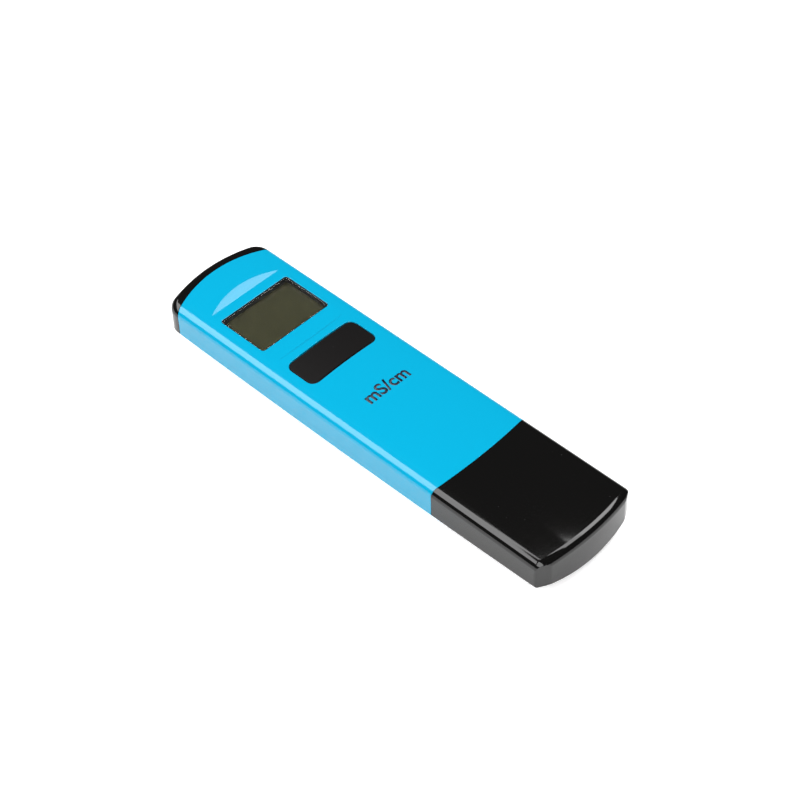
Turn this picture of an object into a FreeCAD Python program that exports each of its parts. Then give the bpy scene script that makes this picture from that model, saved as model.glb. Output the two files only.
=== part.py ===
"""Pocket conductivity meter, made as the separate pieces of the real one.

Millimetres. +Z is up, +Y points to the display end and -Y to the probe.
The origin is on the resting surface, under the middle of the meter.
"""
import FreeCAD, Part
import os
from functools import cache
from math import asin, atan2, cos, degrees, radians, sin, sqrt

from FreeCAD import Vector

# Outer form, shared by the case and both black ends
length = 160.0
width = 40.0
height = 17.0
crown_rise = 1.3
top_round = 2.3
display_end_radius = 65.0
display_corner = 5.55
cap_end_radius = 76.5
cap_corner = 2.7
back_flat = 28.0
back_round = 5.0
flank_foot = 5.45
flank_radius = 2400.0
end_foot = 4.65
end_bow_radius = 34.4
end_slope_run = 6.4
end_slope_round = 8.0
foot_flat = 0.25
least_round = 0.4

# Seams across the case
end_cap_length = 3.7
end_seam_radius = 46.0
cap_length = 42.05
cap_seam_radius = 118.0
seam_gap = 0.12

# Mouldings
wall = 1.8
bulkhead = 2.2
fit_gap = 0.1
lip_thickness = 0.9
lip_height = 1.5
lip_root = 0.7

# Recess round the display
panel_depth = 0.66
panel_beyond = 13.3
panel_far_run = 3.6
panel_before = 15.6
panel_near_run = 1.1

# Display window
window_width = 28.0
window_length = 19.2
window_set_back = 27.4
window_corner = 1.0
window_ledge = 0.35
lens_thickness = 0.7
lens_sink = 0.07

# Key and its switch
key_width = 28.0
key_length = 12.2
key_spacing = 25.2
key_corner = 2.8
key_gap = 0.15
key_sink = 0.05
key_edge = 0.35
key_flange = 0.8
key_flange_rim = 0.9
key_travel = 0.4
key_stem_radius = 2.2
key_stem_length = 0.6
switch_side = 6.0
switch_floor = 0.9
plunger_radius = 1.6
plunger_gap = 0.25
plunger_proud = 0.5

# Circuit board and what holds it
board_thickness = 1.0
board_clearance = 0.9
board_side_gap = 0.7
board_set_back = 10.3
board_corner = 2.0
board_slack = 1.0
boss_radius = 2.5
boss_side_inset = 3.5
boss_far_inset = 2.2
boss_near_inset = 6.4
screw_radius = 1.0
screw_length = 5.0
screw_head_radius = 2.0
screw_head = 1.3
screw_slot = 0.6

# Display stack, from the front
frame_width = 31.2
frame_length = 24.4
bezel_depth = 1.35
lcd_width = 29.6
lcd_length = 22.4
lcd_contact_ledge = 1.9
glass_thickness = 0.75
polariser_thickness = 0.2
polariser_margin = 1.0
connector_width = 1.5

# Parts on the board
chip_side = 10.0
chip_height = 1.4
chip_inset = 24.4
pin_pitch = 1.25
pin_width = 0.4
pin_reach = 1.0
pin_thickness = 0.25

# Small parts round the chip
crystal_width = 4.6
crystal_length = 10.5
crystal_height = 3.0
crystal_side_inset = 4.0
crystal_spacing = 6.0
trimmer_side = 5.0
trimmer_height = 3.2
trimmer_slot = 0.6
trimmer_side_inset = 5.0
trimmer_spacing = 9.0
small_part_width = 1.25
small_part_length = 2.0
small_part_height = 0.9
small_part_side_inset = 6.0
small_part_spacing = 2.6
small_part_pitch = 4.0
small_part_count = 4

# Battery, its well and its cover
cell_radius = 10.0
cell_height = 3.2
cell_step = 0.9
cell_edge = 0.4
well_spacing = 21.7
cover_radius = 12.4
cover_thickness = 1.75
cover_sink = 0.15
cover_gap = 0.2
cover_edge = 0.35
coin_slot_length = 15.0
coin_slot_width = 2.0
coin_slot_depth = 0.9
seal_section = 0.95
seal_flats = 12
hub_radius = 11.1
hub_inner_radius = 10.3
hub_height = 2.6
lug_count = 3
lug_reach = 1.0
lug_height = 0.9
lug_angle = 24.0
unlock_angle = 50.0
slot_gap = 0.12
slot_slack_angle = 1.5
well_wall = 1.3
well_ceiling = 0.8
contact_thickness = 0.3
contact_width = 4.0
contact_spring_run = 13.0
contact_room = 1.1

# Probe
cap_clearance = 0.25
neck_length = 10.5
neck_edge = 0.8
stem_width = 18.0
stem_room = 0.35
stem_corner = 1.5
flange_rim = 2.0
flange_thickness = 1.4
gasket_thickness = 0.8
blade_width = 15.0
blade_height = 7.6
blade_length = 18.0
blade_corner = 1.6
blade_edge = 0.8
electrode_radius = 1.3
electrode_spacing = 9.0
electrode_proud = 6.0
electrode_root = 7.0
sensor_radius = 1.1
sensor_proud = 5.0
lead_radius = 0.4
lead_spacing = 2.6
lead_overlap = 3.5
lead_count = 3

# Rubber rings on the neck and on the end cap's spigot
ring_width = 1.6
ring_depth = 0.9
ring_gap = 0.05
neck_ring_set_back = 4.5
spigot_depth = 5.0
spigot_wall = 1.2
spigot_ring_set_back = 1.8

# Derived sizes that several pieces share
half_width = width / 2
half_length = length / 2
past = 1.0
crown_radius = (half_width**2 + crown_rise**2) / (2 * crown_rise)
end_seam = half_length - end_cap_length
cap_seam = cap_length - half_length
window_middle = end_seam - window_set_back
panel_far = window_middle + panel_beyond
panel_near = window_middle - panel_before
key_middle = window_middle - key_spacing
well_middle = key_middle - well_spacing
panel_z = height - panel_depth
lens_top = panel_z - lens_sink
lens_bottom = lens_top - lens_thickness
ceiling_z = height - wall
bezel_bottom = ceiling_z - bezel_depth
polariser_bottom = bezel_bottom - polariser_thickness
front_glass_bottom = polariser_bottom - glass_thickness
rear_glass_bottom = front_glass_bottom - glass_thickness
reflector_bottom = rear_glass_bottom - polariser_thickness
cap_wall_face = cap_seam + seam_gap / 2
bulkhead_face = cap_wall_face + bulkhead
gasket_face = bulkhead_face + gasket_thickness
flange_face = gasket_face + flange_thickness
board_near = flange_face + board_slack
board_far = end_seam - board_set_back
board_half = half_width - wall - fit_gap - lip_thickness - board_side_gap
boss_x = board_half - boss_side_inset
crystal_x = crystal_side_inset - board_half
trimmer_x = board_half - trimmer_side_inset
small_part_x = board_half - small_part_side_inset
boss_near = board_near + boss_near_inset
boss_far = board_far - boss_far_inset
chip_middle = board_near + chip_inset
crystal_y = chip_middle - crystal_spacing
trimmer_y = chip_middle - trimmer_spacing
small_part_first = chip_middle + small_part_spacing
neck_end = cap_seam - neck_length
blade_end = neck_end - blade_length
stem_height = height - 2 * (wall + flange_rim + stem_room)
stem_middle = height / 2
cover_top = cover_sink + cover_thickness
seal_seat = cover_top + seal_section
hub_top = cover_top + hub_height
cell_bottom = cover_top + fit_gap
cell_top = cell_bottom + cell_height
ceiling_bottom = cell_top + contact_room
well_top = ceiling_bottom + well_ceiling
counterbore_radius = cover_radius + cover_gap
well_radius = hub_radius + cover_gap
lug_radius = hub_radius + lug_reach
board_bottom = well_top + board_clearance
board_top = board_bottom + board_thickness
key_flange_low = ceiling_z - crown_rise - fit_gap - key_flange
plunger_top = key_flange_low - key_stem_length
switch_top = plunger_top - plunger_proud
switch_bore_floor = board_top + switch_floor


def sag(radius, half_chord):
    """How far an arc rises over its chord."""
    return radius - sqrt(radius**2 - half_chord**2)


def box(x0, x1, y0, y1, z0, z1):
    """A box from its limits."""
    return Part.makeBox(x1 - x0, y1 - y0, z1 - z0, Vector(x0, y0, z0))


def disc(radius, z0, z1, x=0.0, y=0.0):
    """An upright cylinder."""
    return Part.makeCylinder(radius, z1 - z0, Vector(x, y, z0))


def rod(radius, y0, y1, x, z):
    """A cylinder along Y."""
    return Part.makeCylinder(radius, y1 - y0, Vector(x, y0, z), Vector(0, 1, 0))


def prism(points, direction):
    """A closed polygon swept along a direction."""
    wire = Part.makePolygon(points + points[:1])
    return Part.Face(wire).extrude(direction)


def edges_along(shape, axis):
    """The straight edges of a shape that run along an axis."""
    found = []
    for edge in shape.Edges:
        run = edge.Vertexes[-1].Point.sub(edge.Vertexes[0].Point)
        if isinstance(edge.Curve, Part.Line) and abs(run.dot(axis)) > run.Length * 0.999:
            found.append(edge)
    return found


def plate(span_x, span_y, corner, z0, z1, y=0.0):
    """A flat plate with rounded corners, centred on x = 0."""
    block = box(-span_x / 2, span_x / 2, y - span_y / 2, y + span_y / 2, z0, z1)
    return block.makeFillet(corner, edges_along(block, Vector(0, 0, 1)))


def bar(span_x, span_z, corner, y0, y1, z):
    """A bar along Y with rounded edges, centred on x = 0."""
    block = box(-span_x / 2, span_x / 2, y0, y1, z - span_z / 2, z + span_z / 2)
    return block.makeFillet(corner, edges_along(block, Vector(0, 1, 0)))


def joined(first, *others):
    """One solid out of touching ones."""
    return first.fuse(list(others)).removeSplitter()


@cache
def outline_prism(inset):
    """The outline seen from above, moved inwards, as a tall prism."""
    half = half_width - inset
    far_radius = display_end_radius - inset
    near_radius = cap_end_radius - inset
    far = half_length - inset
    near = inset - half_length
    far_side = far - sag(far_radius, half)
    near_side = near + sag(near_radius, half)
    z = -past
    far_arc = Part.Arc(Vector(half, far_side, z), Vector(0, far, z), Vector(-half, far_side, z))
    near_arc = Part.Arc(Vector(-half, near_side, z), Vector(0, near, z), Vector(half, near_side, z))
    edges = [
        far_arc.toShape(),
        Part.makeLine(Vector(-half, far_side, z), Vector(-half, near_side, z)),
        near_arc.toShape(),
        Part.makeLine(Vector(half, near_side, z), Vector(half, far_side, z)),
    ]
    block = Part.Face(Part.Wire(edges)).extrude(Vector(0, 0, height + 2 * past))
    uprights = edges_along(block, Vector(0, 0, 1))
    far_uprights = [edge for edge in uprights if edge.CenterOfMass.y > 0]
    block = block.makeFillet(max(display_corner - inset, least_round), far_uprights)
    uprights = edges_along(block, Vector(0, 0, 1))
    near_uprights = [edge for edge in uprights if edge.CenterOfMass.y < near_side + past]
    return block.makeFillet(max(cap_corner - inset, least_round), near_uprights)


def keel_section(half, flat, foot, inset, near):
    """The side view of one edge of the underside, moved inwards, as points out from the middle and up."""
    slope = atan2(foot, half - flat)
    reach = flat * sin(slope) - inset
    floor = (reach + inset * cos(slope)) / sin(slope)
    out = half + 2 * past
    out_z = (out * sin(slope) - reach) / cos(slope)
    top = height + 2 * past
    return [(near, inset), (floor, inset), (out, out_z), (out, top), (near, top)]


def rounded_rim(block, level, radius):
    """Round the curved edges of a block at one level."""
    lows = [edge for edge in block.Edges if isinstance(edge.Curve, Part.Circle)]
    lows = [edge for edge in lows if abs(edge.CenterOfMass.z - level) < 0.01]
    return block.makeFillet(radius, lows)


@cache
def section_prism(inset):
    """The cross-section, moved inwards: the crowned top, and both sides sloped in under bowed foot lines."""
    half = half_width + past
    top = height - inset
    side_top = top - sag(crown_radius - inset, half)
    y = -half_length - past
    crown = Part.Arc(Vector(half, y, side_top), Vector(0, y, top), Vector(-half, y, side_top))
    corners = [
        Vector(-half, y, side_top),
        Vector(-half, y, -past),
        Vector(half, y, -past),
        Vector(half, y, side_top),
    ]
    wire = Part.Wire([crown.toShape()] + Part.makePolygon(corners).Edges)
    block = Part.Face(wire).extrude(Vector(0, length + 2 * past, 0))
    turn = degrees(asin((half_length + 2 * past) / flank_radius))
    for side in (-1, 1):
        points = keel_section(half_width, back_flat / 2, flank_foot, inset, -half_width - 2 * past)
        corners = [Vector(side * out, 0, z) for out, z in points]
        axis = Vector(side * (half_width - flank_radius), 0, 0)
        section = Part.Face(Part.makePolygon(corners + corners[:1]))
        section.rotate(axis, Vector(0, 0, 1), -turn)
        swept = section.revolve(axis, Vector(0, 0, 1), 2 * turn)
        block = block.common(rounded_rim(swept, inset, max(back_round - inset, least_round)))
    return block


@cache
def profile_prism(inset):
    """The underside as it rises like a bow at both ends, moved inwards."""
    hub = half_length - end_bow_radius
    block = box(-half_width - past, half_width + past, -hub, hub, inset, height + 2 * past)
    for side in (-1, 1):
        points = keel_section(half_length, half_length - end_slope_run, end_foot, inset, hub)
        corners = [Vector(0, side * out, z) for out, z in points]
        section = Part.Face(Part.makePolygon(corners + corners[:1]))
        swept = section.revolve(Vector(0, side * hub, 0), Vector(0, 0, 1), 360)
        block = block.fuse(rounded_rim(swept, inset, max(end_slope_round - inset, least_round)))
    return block.removeSplitter()


def foot_edges(shape):
    """The edges where the upright walls meet the sloped underside."""
    found = []
    for edge in shape.Edges:
        steepness = [abs(slope_of(face)) for face in shape.ancestorsOfType(edge, Part.Face)]
        if edge.CenterOfMass.z < height / 2 and min(steepness) < 0.01 and max(steepness) > 0.1:
            found.append(edge)
    return found


def slope_of(face):
    """The upward part of a face's normal at its middle."""
    u0, u1, v0, v1 = face.ParameterRange
    return face.normalAt((u0 + u1) / 2, (v0 + v1) / 2).z


@cache
def form(inset):
    """The closed outer form of the whole meter, moved inwards. Only the outer one has softened edges."""
    block = outline_prism(inset).common(section_prism(inset)).common(profile_prism(inset))
    block = block.removeSplitter().Solids[0]
    if inset > 0:
        return block
    top_face = max(block.Faces, key=lambda face: face.CenterOfMass.z)
    rounded = block.makeFillet(top_round, top_face.OuterWire.Edges).Solids[0]
    return rounded.makeChamfer(foot_flat, foot_edges(rounded)).Solids[0]


def below_seam(apex, radius, bulge):
    """Everything on the probe side of a seam that curves towards +Y (bulge 1) or -Y (bulge -1)."""
    reach = half_width + past
    side = apex - bulge * sag(radius, reach)
    z = -past
    curve = Part.Arc(Vector(reach, side, z), Vector(0, apex, z), Vector(-reach, side, z))
    corners = [
        Vector(-reach, side, z),
        Vector(-reach, -length, z),
        Vector(reach, -length, z),
        Vector(reach, side, z),
    ]
    wire = Part.Wire([curve.toShape()] + Part.makePolygon(corners).Edges)
    return Part.Face(wire).extrude(Vector(0, 0, height + 2 * past))


def below_cap_seam(shift):
    """The probe side of the protective cap's seam, moved along Y."""
    return below_seam(cap_seam + shift, cap_seam_radius, -1)


def below_end_seam(shift):
    """The probe side of the end cap's seam, moved along Y."""
    return below_seam(end_seam + shift, end_seam_radius, 1)


def between_cap_arcs(low, high):
    """The curved slice between two copies of the cap's seam."""
    return below_cap_seam(high - cap_seam).cut(below_cap_seam(low - cap_seam))


def case_zone():
    """The stretch of the outer form that the two shells share."""
    return form(0.0).common(below_end_seam(-seam_gap / 2)).cut(below_cap_seam(seam_gap / 2))


def case_cavity():
    """The room inside both shells, open at the display end."""
    return form(wall).cut(below_cap_seam(seam_gap / 2 + bulkhead))


def lip(side, inner, outer, z0, z1):
    """A strip along one long wall of the case, on the side +1 or -1."""
    near = bulkhead_face + past
    far = end_seam - sag(end_seam_radius, half_width) - spigot_depth - past
    x0, x1 = sorted((side * inner, side * outer))
    return box(x0, x1, near, far, z0, z1)


def stem_hole():
    """The opening in the case wall that the probe's stem passes through."""
    return bar(
        stem_width + 2 * fit_gap,
        stem_height + 2 * fit_gap,
        stem_corner + fit_gap,
        cap_seam - past,
        flange_face,
        stem_middle,
    )


def display_recess():
    """The flat recess round the display, with a long ramp at its far end and a short one near the key."""
    rise = 2 * panel_depth
    x = -half_width
    points = [
        Vector(x, panel_near, panel_z),
        Vector(x, panel_far, panel_z),
        Vector(x, panel_far + panel_far_run * rise / panel_depth, panel_z + rise),
        Vector(x, panel_near - panel_near_run * rise / panel_depth, panel_z + rise),
    ]
    return prism(points, Vector(width, 0, 0))


def window_pocket():
    """The window's pocket from the front, and the smaller opening past its ledge."""
    pocket = plate(window_width, window_length, window_corner, lens_bottom, height + past, window_middle)
    through = plate(
        window_width - 2 * window_ledge,
        window_length - 2 * window_ledge,
        window_corner - window_ledge,
        ceiling_z - 2 * wall,
        lens_bottom + fit_gap,
        window_middle,
    )
    return pocket.fuse(through)


def boss_places():
    """Where the board is screwed to the front shell."""
    return [(x, y) for x in (-boss_x, boss_x) for y in (boss_near, boss_far)]


def front_shell():
    """The crowned upper half of the case."""
    lid = box(-width, width, -length, length, flank_foot, height + past)
    shell = case_zone().cut(case_cavity()).common(lid)
    slot_top = flank_foot + lip_height + fit_gap
    for side in (-1, 1):
        outer = half_width - wall
        shell = shell.cut(lip(side, outer - lip_thickness - 2 * fit_gap, outer, 0.0, slot_top))
    ceiling_grip = wall / 2
    bosses = [disc(boss_radius, board_top, ceiling_z + ceiling_grip, x, y) for x, y in boss_places()]
    bosses = [boss.common(form(wall / 2)) for boss in bosses]
    shell = joined(shell, *bosses)
    for x, y in boss_places():
        shell = shell.cut(disc(screw_radius, board_top - past, board_top + screw_length, x, y))
    shell = shell.cut(display_recess())
    shell = shell.cut(window_pocket())
    shell = shell.cut(stem_hole())
    key_low = ceiling_z - 2 * wall
    return shell.cut(plate(key_width, key_length, key_corner, key_low, height + past, key_middle))


def bayonet_slots():
    """The lugs' way down into the well, and their turn under its rim."""
    low = cover_top + seal_section
    z0 = hub_top - lug_height - slot_gap
    z1 = hub_top + slot_gap
    radius = lug_radius + slot_gap
    entry = lug_angle + 2 * slot_slack_angle
    slots = []
    for number in range(lug_count):
        start = number * 360 / lug_count - lug_angle / 2 - slot_slack_angle
        turn = wedge(radius, z0, z1, start - unlock_angle, entry + unlock_angle)
        drop = wedge(radius, low - past, z1, start - unlock_angle, entry)
        slots += [turn, drop]
    return slots


def wedge(radius, z0, z1, start, angle):
    """A sector of a disc round the battery well's axis, from a start angle in degrees."""
    sector = Part.makeCylinder(radius, z1 - z0, Vector(0, 0, z0), Vector(0, 0, 1), angle)
    sector.rotate(Vector(0, 0, 0), Vector(0, 0, 1), start)
    sector.translate(Vector(0, well_middle, 0))
    return sector


def contact_slots():
    """The openings in the well's ceiling for the contacts' tails."""
    reach = contact_width / 2 + fit_gap
    y0 = well_middle - reach
    y1 = well_middle + reach
    slots = []
    for x in (negative_tail_x(), positive_tail_x()):
        x0 = x - fit_gap
        x1 = x + contact_thickness + fit_gap
        slots.append(box(x0, x1, y0, y1, ceiling_bottom - past, well_top + past))
    return slots


def negative_tail_x():
    """The low side of the negative contact's tail."""
    return -contact_spring_run / 2


def positive_tail_x():
    """The low side of the positive contact, which leans on the side of the cell."""
    return cell_radius + ring_gap


def rear_shell():
    """The lower half of the case, with the battery well in its back."""
    tray = box(-width, width, -length, length, -past, flank_foot)
    shell = case_zone().cut(case_cavity()).common(tray)
    strips = []
    for side in (-1, 1):
        outer = half_width - wall - fit_gap
        inner = outer - lip_thickness
        strips.append(lip(side, inner, outer, flank_foot - lip_root, flank_foot + lip_height))
    well = disc(counterbore_radius + well_wall, 0.0, well_top, 0, well_middle).common(section_prism(0.0))
    shell = joined(shell, well, *strips)
    shell = shell.cut(disc(counterbore_radius, -past, seal_seat, 0, well_middle))
    shell = shell.cut(disc(well_radius, 0.0, ceiling_bottom, 0, well_middle))
    for tool in bayonet_slots() + contact_slots():
        shell = shell.cut(tool)
    return shell.cut(stem_hole())


def ring_band(outer_inset, inner_inset, band):
    """A rubber ring that follows the outline, kept within a curved band."""
    return form(outer_inset).cut(form(inner_inset)).common(band)


def spigot_band(slack):
    """The slice of the end cap's spigot that holds its ring."""
    far = -spigot_ring_set_back + slack
    near = -spigot_ring_set_back - ring_width - slack
    return below_end_seam(far).cut(below_end_seam(near))


def end_cap():
    """The black cap that closes the display end."""
    block = form(0.0).cut(below_end_seam(seam_gap / 2))
    plug = form(wall + fit_gap).cut(below_end_seam(-spigot_depth))
    cap = joined(block, plug).cut(form(wall + fit_gap + spigot_wall))
    groove = ring_band(wall, wall + ring_depth, spigot_band(0.0))
    return cap.cut(groove)


def end_cap_seal():
    """The rubber ring on the end cap's spigot."""
    return ring_band(wall + ring_gap, wall + ring_depth, spigot_band(-ring_gap))


def protective_cap():
    """The hollow cap over the probe."""
    return form(0.0).common(below_cap_seam(-seam_gap / 2)).cut(form(wall))


def neck_band(slack):
    """The slice of the neck that holds its ring."""
    y0 = cap_seam - neck_ring_set_back - ring_width - slack
    return box(-width, width, y0, y0 + ring_width + 2 * slack, -past, height + past)


def probe_body():
    """The neck inside the cap, the stem and flange in the case, and the blade."""
    neck_inset = wall + cap_clearance
    beyond = box(-width, width, -length, neck_end, -past, height + past)
    neck = form(neck_inset).common(below_cap_seam(seam_gap / 2)).cut(beyond).Solids[0]
    tip_face = min(neck.Faces, key=lambda face: face.CenterOfMass.y)
    neck = neck.makeFillet(neck_edge, tip_face.OuterWire.Edges)
    stem = bar(stem_width, stem_height, stem_corner, neck_end + past, flange_face, stem_middle)
    flange = bar(
        stem_width + 2 * flange_rim,
        stem_height + 2 * flange_rim,
        stem_corner + flange_rim,
        cap_seam,
        flange_face + past,
        stem_middle,
    )
    flange = flange.common(between_cap_arcs(gasket_face, flange_face))
    stem = stem.common(below_cap_seam(flange_face - cap_seam))
    blade = bar(blade_width, blade_height, blade_corner, blade_end, neck_end + past, stem_middle)
    blade_face = min(blade.Faces, key=lambda face: face.CenterOfMass.y)
    blade = blade.makeChamfer(blade_edge, blade_face.OuterWire.Edges)
    body = joined(neck, stem, flange, blade)
    body = body.cut(ring_band(0.0, wall + ring_depth, neck_band(0.0)))
    for x in electrode_places():
        body = body.cut(rod(electrode_radius, blade_end - past, blade_end + electrode_root, x, stem_middle))
    return body.cut(rod(sensor_radius, blade_end - past, blade_end + electrode_root, 0, stem_middle))


def neck_seal():
    """The rubber ring on the neck that the protective cap grips."""
    return ring_band(wall + fit_gap, wall + ring_depth, neck_band(-ring_gap))


def probe_gasket():
    """The gasket between the probe's flange and the case wall."""
    blank = bar(
        stem_width + 2 * flange_rim,
        stem_height + 2 * flange_rim,
        stem_corner + flange_rim,
        cap_seam,
        flange_face,
        stem_middle,
    )
    opening = bar(stem_width, stem_height, stem_corner, cap_seam - past, flange_face, stem_middle)
    return blank.common(between_cap_arcs(bulkhead_face, gasket_face)).cut(opening)


def electrode_places():
    """Where the two electrodes stand across the blade."""
    return (-electrode_spacing / 2, electrode_spacing / 2)


def electrode_pins():
    """The two graphite electrodes, bevelled at their tips."""
    pins = []
    for x in electrode_places():
        tip_y = blade_end - electrode_proud
        pin = rod(electrode_radius, tip_y, blade_end + electrode_root, x, stem_middle)
        tip = min(pin.Edges, key=lambda edge: edge.CenterOfMass.y)
        pins.append(pin.makeChamfer(electrode_radius / 3, [tip]))
    return Part.makeCompound(pins)


def temperature_sensor():
    """The closed steel tube between the electrodes."""
    tube = rod(sensor_radius, blade_end - sensor_proud, blade_end + electrode_root, 0, stem_middle)
    tip = min(tube.Edges, key=lambda edge: edge.CenterOfMass.y)
    return tube.makeChamfer(sensor_radius / 2, [tip])


def sensor_leads():
    """The leads that come out of the probe's stem and lie on the board."""
    leads = []
    for number in range(lead_count):
        x = (number - (lead_count - 1) / 2) * lead_spacing
        lead = rod(lead_radius, flange_face - past, board_near + lead_overlap, x, board_top + lead_radius)
        leads.append(lead.cut(below_cap_seam(flange_face - cap_seam)))
    return Part.makeCompound(leads)


def window_lens():
    """The clear window, seated on the ledge of its pocket."""
    lens = plate(
        window_width - 2 * fit_gap,
        window_length - 2 * fit_gap,
        window_corner - fit_gap,
        lens_bottom,
        lens_top,
        window_middle,
    )
    top = max(lens.Faces, key=lambda face: face.CenterOfMass.z)
    return lens.makeChamfer(fit_gap, top.OuterWire.Edges)


def lcd_frame():
    """The black frame that holds the display between the window and the board."""
    block = plate(frame_width, frame_length, window_corner, board_top, height, window_middle)
    block = block.common(form(wall + fit_gap))
    view = plate(
        window_width - 2 * window_ledge,
        window_length - 2 * window_ledge,
        window_corner - window_ledge,
        bezel_bottom - past,
        height,
        window_middle,
    )
    bed = box(
        -lcd_width / 2 - fit_gap,
        lcd_width / 2 + fit_gap,
        window_middle - lcd_length / 2 - fit_gap,
        window_middle + lcd_length / 2 + fit_gap,
        board_top - past,
        bezel_bottom,
    )
    return block.cut(view).cut(bed)


def glass(span_y, bottom, thickness, margin=0.0):
    """One flat layer of the display."""
    return box(
        margin - lcd_width / 2,
        lcd_width / 2 - margin,
        window_middle - span_y / 2 + margin,
        window_middle + span_y / 2 - margin,
        bottom,
        bottom + thickness,
    )


def lcd_polariser():
    """The dark film on the front of the display."""
    return glass(lcd_length, polariser_bottom, polariser_thickness, polariser_margin / 2)


def lcd_front_glass():
    """The front glass, which reaches over the contact strips."""
    return glass(lcd_length, front_glass_bottom, glass_thickness)


def lcd_rear_glass():
    """The rear glass, shorter than the front one."""
    return glass(lcd_length - 2 * lcd_contact_ledge, rear_glass_bottom, glass_thickness)


def lcd_reflector():
    """The reflecting film behind the display."""
    span = lcd_length - 2 * lcd_contact_ledge
    return glass(span, reflector_bottom, polariser_thickness, polariser_margin / 2)


def lcd_connector():
    """The two rubber strips that join the front glass to the board."""
    strips = []
    for side in (-1, 1):
        y = window_middle + side * (lcd_length - lcd_contact_ledge) / 2
        strips.append(box(
            -lcd_width / 2 + polariser_margin,
            lcd_width / 2 - polariser_margin,
            y - connector_width / 2,
            y + connector_width / 2,
            board_top,
            front_glass_bottom,
        ))
    return Part.makeCompound(strips)


def circuit_board():
    """The board, with holes for its screws."""
    middle = (board_near + board_far) / 2
    span = board_far - board_near
    board = plate(2 * board_half, span, board_corner, board_bottom, board_top, middle)
    for x, y in boss_places():
        board = board.cut(disc(screw_radius + fit_gap, board_bottom - past, board_top + past, x, y))
    return board


def board_screws():
    """The screws that hold the board to the front shell's bosses."""
    screws = []
    for x, y in boss_places():
        head = disc(screw_head_radius, board_bottom - screw_head, board_bottom, x, y)
        rim = min(head.Edges, key=lambda edge: edge.CenterOfMass.z)
        head = head.makeChamfer(screw_head / 3, [rim])
        shank_top = board_top + screw_length - fit_gap
        shank = disc(screw_radius - fit_gap / 2, board_bottom - fit_gap, shank_top, x, y)
        screw = joined(head, shank)
        low = board_bottom - screw_head - past
        high = board_bottom - screw_head / 2
        long = screw_head_radius * 0.7
        short = screw_slot / 2
        screw = screw.cut(box(x - long, x + long, y - short, y + short, low, high))
        screws.append(screw.cut(box(x - short, x + short, y - long, y + long, low, high)))
    return Part.makeCompound(screws)


def controller_chip():
    """The flat controller chip, with pins on four sides."""
    half = chip_side / 2
    low = board_top + pin_thickness
    high = board_top + chip_height
    block = box(-half, half, chip_middle - half, chip_middle + half, low, high)
    count = int((chip_side - 2 * pin_pitch) / pin_pitch) + 1
    pins = []
    for number in range(count):
        place = (number - (count - 1) / 2) * pin_pitch
        p0 = place - pin_width / 2
        p1 = place + pin_width / 2
        far = half + pin_reach
        near = half - pin_reach
        level = low + pin_thickness
        pins.append(box(-far, -near, chip_middle + p0, chip_middle + p1, board_top, level))
        pins.append(box(near, far, chip_middle + p0, chip_middle + p1, board_top, level))
        pins.append(box(p0, p1, chip_middle - far, chip_middle - near, board_top, level))
        pins.append(box(p0, p1, chip_middle + near, chip_middle + far, board_top, level))
    return joined(block, *pins)


def part_block(x, y, span_x, span_y, rise):
    """A block that stands on the board."""
    return box(x - span_x / 2, x + span_x / 2, y - span_y / 2, y + span_y / 2, board_top, board_top + rise)


def board_parts():
    """The small parts soldered round the chip."""
    corner = crystal_width * 0.48
    crystal = plate(crystal_width, crystal_length, corner, board_top, board_top + crystal_height, crystal_y)
    crystal.translate(Vector(crystal_x, 0, 0))
    trimmer = part_block(trimmer_x, trimmer_y, trimmer_side, trimmer_side, trimmer_height)
    slot = part_block(trimmer_x, trimmer_y, trimmer_slot, trimmer_side * 0.8, trimmer_height + past)
    slot.translate(Vector(0, 0, trimmer_height - trimmer_slot))
    parts = [crystal, trimmer.cut(slot)]
    for row in range(small_part_count):
        y = small_part_first + small_part_pitch * row
        for x in (-small_part_x, small_part_x):
            parts.append(part_block(x, y, small_part_length, small_part_width, small_part_height))
    return Part.makeCompound(parts)


def tactile_switch():
    """The fixed body of the switch under the key."""
    half = switch_side / 2
    body = box(-half, half, key_middle - half, key_middle + half, board_top, switch_top)
    bore = disc(plunger_radius + plunger_gap, switch_bore_floor, switch_top + past, 0, key_middle)
    return body.cut(bore)


def switch_plunger():
    """The switch's plunger, which goes down with the key."""
    low = switch_bore_floor + key_travel + fit_gap
    return disc(plunger_radius, low, plunger_top, 0, key_middle)


def button_key():
    """The wide soft key, with a flange under the shell and a stem on the plunger."""
    cap = plate(
        key_width - 2 * key_gap,
        key_length - 2 * key_gap,
        key_corner - key_gap,
        ceiling_z - wall,
        height + past,
        key_middle,
    )
    cap = cap.common(section_prism(key_sink)).Solids[0]
    top = max(cap.Faces, key=lambda face: face.CenterOfMass.z)
    cap = cap.makeChamfer(key_edge, top.OuterWire.Edges)
    flange = plate(
        key_width + 2 * key_flange_rim,
        key_length + 2 * key_flange_rim,
        key_corner + key_flange_rim,
        key_flange_low,
        height,
        key_middle,
    )
    flange = flange.common(section_prism(wall + fit_gap))
    below = box(-width, width, -length, length, -past, key_flange_low)
    stem = disc(key_stem_radius, plunger_top, key_flange_low + key_flange / 2, 0, key_middle)
    return joined(cap.cut(below), flange, stem)


def battery_cell():
    """The coin cell, its can down and its smaller pole up."""
    can = disc(cell_radius, cell_bottom, cell_top, 0, well_middle)
    rims = [edge for edge in can.Edges if isinstance(edge.Curve, Part.Circle)]
    can = can.makeChamfer(cell_edge, rims)
    collar = disc(cell_radius + past, cell_top - cell_edge, cell_top + past, 0, well_middle)
    pole = disc(cell_radius - cell_step, cell_top - 2 * cell_edge, cell_top + 2 * past, 0, well_middle)
    return can.cut(collar.cut(pole))


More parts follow.
